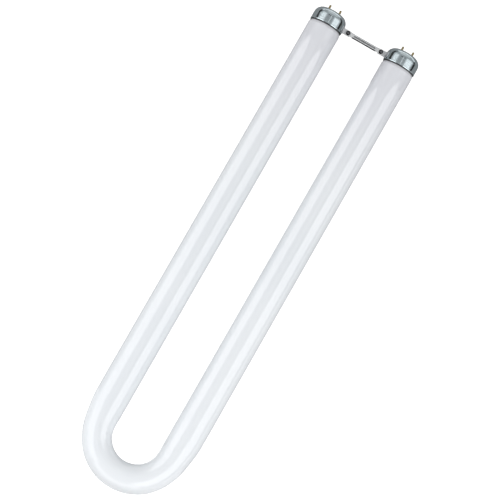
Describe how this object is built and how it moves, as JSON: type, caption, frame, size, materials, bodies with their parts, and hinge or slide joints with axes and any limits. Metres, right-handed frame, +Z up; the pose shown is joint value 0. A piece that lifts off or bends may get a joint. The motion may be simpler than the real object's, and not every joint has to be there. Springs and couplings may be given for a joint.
{
  "type": "u-shaped fluorescent lamp",
  "caption": "White fluorescent lamp bent into a long U, with a metal two-pin cap on each leg and a riveted stay bar between the caps.",
  "frame": {"origin": "middle of the lamp's outline on the surface it lies on", "axes": "+Y from the bend to the caps, +Z up off the surface, X across the two legs"},
  "size_m": [0.1296, 0.5774, 0.0383],
  "materials": {
    "coated_glass": "gloss white, coated inside",
    "cap_metal": "polished",
    "insulator": "pressed phenolic",
    "cement": "dark baked resin cement",
    "pin_metal": "plain turned",
    "wire_metal": "drawn wire",
    "bracket_metal": "satin",
    "stay_metal": "bright plated",
    "rivet_metal": "dark"
  },
  "bodies": {
    "root": {"glass_tube": "coated_glass", "cap_shell_left": "cap_metal", "insulator_disc_left": "insulator", "basing_cement_left": "cement", "contact_pin_left_outer": "pin_metal", "contact_pin_left_inner": "pin_metal", "lead_wire_left_outer": "wire_metal", "lead_wire_left_inner": "wire_metal", "stay_bracket_left": "bracket_metal", "stay_rivet_left": "rivet_metal", "cap_shell_right": "cap_metal", "insulator_disc_right": "insulator", "basing_cement_right": "cement", "contact_pin_right_outer": "pin_metal", "contact_pin_right_inner": "pin_metal", "lead_wire_right_outer": "wire_metal", "lead_wire_right_inner": "wire_metal", "stay_bracket_right": "bracket_metal", "stay_rivet_right": "rivet_metal", "stay_bar": "stay_metal"}
  },
  "joints": []
}
